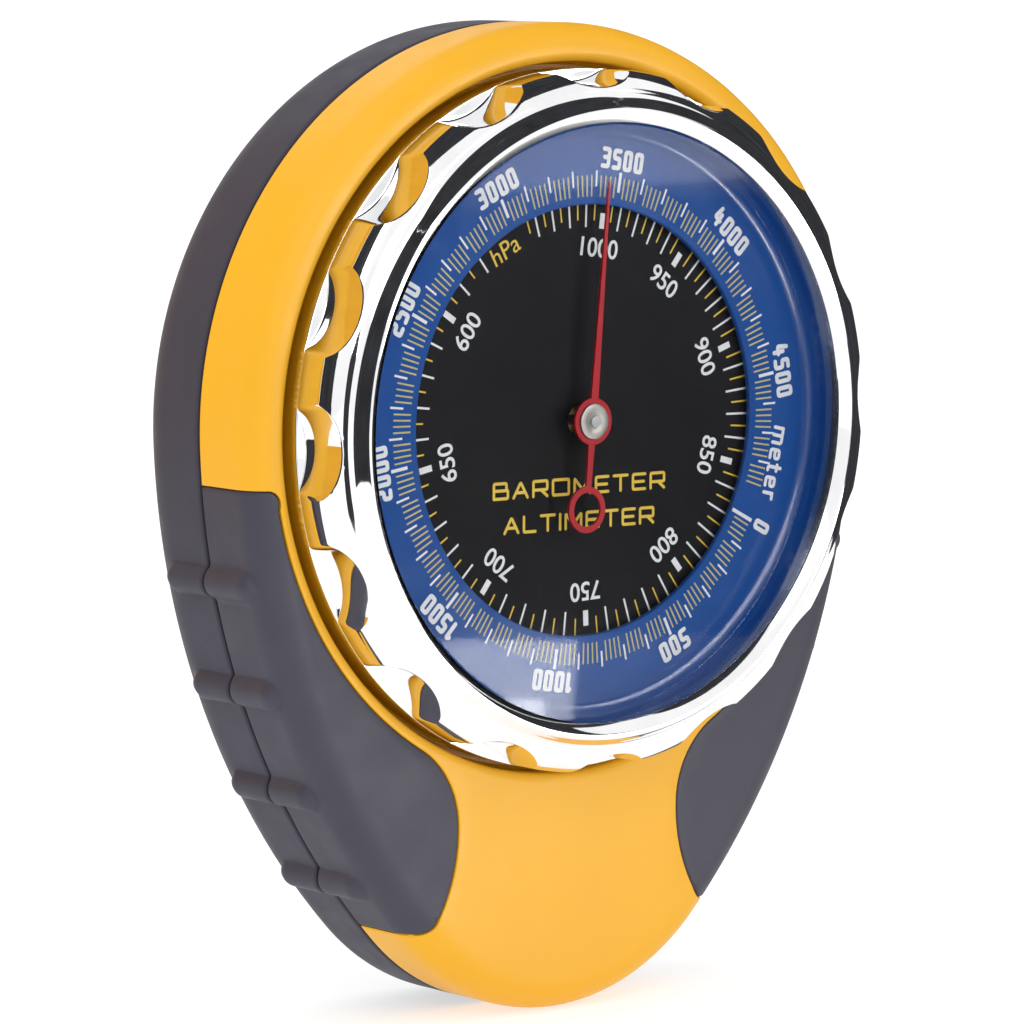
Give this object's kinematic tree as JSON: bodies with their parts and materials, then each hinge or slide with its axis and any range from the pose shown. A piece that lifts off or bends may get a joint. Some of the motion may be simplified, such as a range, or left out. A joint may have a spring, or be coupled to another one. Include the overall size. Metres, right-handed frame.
{
  "type": "handheld barometer-altimeter",
  "caption": "Drop-shaped pocket aneroid barometer-altimeter with a rotating fluted chrome bezel, altitude ring, red pointer and soft side grips.",
  "frame": {"origin": "the point where the pointer's axis meets the flat back face", "axes": "+Z towards the wide end, the dial faces -Y, +X to the reader's right"},
  "size_m": [0.0618, 0.0218, 0.0778],
  "materials": {
    "yellow_shell": "satin",
    "grey_shell": "matte",
    "grip_rubber": "matte",
    "chrome": "polished",
    "clear": "polished",
    "blue_ring": "satin",
    "black_dial": "matte",
    "red_pointer": "satin",
    "brass": "machined",
    "steel": "brushed",
    "capsule_metal": "plated",
    "black_plastic": "matte",
    "seal_rubber": "matte"
  },
  "bodies": {
    "case": {"front_shell": "yellow_shell", "grip_left": "grip_rubber", "grip_right": "grip_rubber", "back_shell": "grey_shell", "seam_gasket": "seal_rubber", "case_screws": "steel", "breather": "black_plastic", "dial_plate": "black_dial", "movement_housing": "black_plastic", "housing_screws": "steel", "base_plate": "brass", "pillars": "brass", "base_screws": "steel", "capsule_rear": "capsule_metal", "capsule_front": "capsule_metal", "trimmer_screw": "steel", "capsule_stud": "brass", "mainspring": "steel", "capsule_post": "brass", "rocker_bracket": "brass", "upper_plate": "brass", "gear_bridge": "brass", "bridge_posts": "brass", "hairspring": "steel"},
    "bezel": {"bezel_ring": "chrome", "crystal": "clear", "crystal_gasket": "seal_rubber", "altitude_ring": "blue_ring", "snap_wire": "steel"},
    "sector": {"sector_gear": "brass", "sector_arbor": "steel"},
    "rocker_shaft": {"rocker": "steel"},
    "needle": {"pinion": "brass", "pointer_arbor": "steel", "pointer": "red_pointer", "pointer_cap": "steel"}
  },
  "joints": [
    {"name": "bezel_turn", "type": "hinge", "parent": "case", "child": "bezel", "pos_m": [0, -0.0165, 0], "axis": [0, 1, 0], "continuous": true},
    {"name": "sector_swing", "type": "hinge", "parent": "case", "child": "sector", "pos_m": [0, -0.0135, -0.01106], "axis": [0, 1, 0], "range_deg": [-31.8, 2.6], "stiffness_Nm_per_rad": 0.02},
    {"name": "needle_turn", "type": "hinge", "parent": "case", "child": "needle", "pos_m": [0, -0.0135, 0], "axis": [0, 1, 0], "range_deg": [-26, 318]},
    {"name": "rocker_tilt", "type": "hinge", "parent": "case", "child": "rocker_shaft", "pos_m": [-0.0032, -0.0094, -0.0165], "axis": [0, 0, 1], "range_deg": [-1.95, 23.85]}
  ],
  "couplings": [
    {"joint": "needle_turn", "follows": "sector_swing", "ratio": -10},
    {"joint": "rocker_tilt", "follows": "sector_swing", "ratio": -0.75}
  ]
}
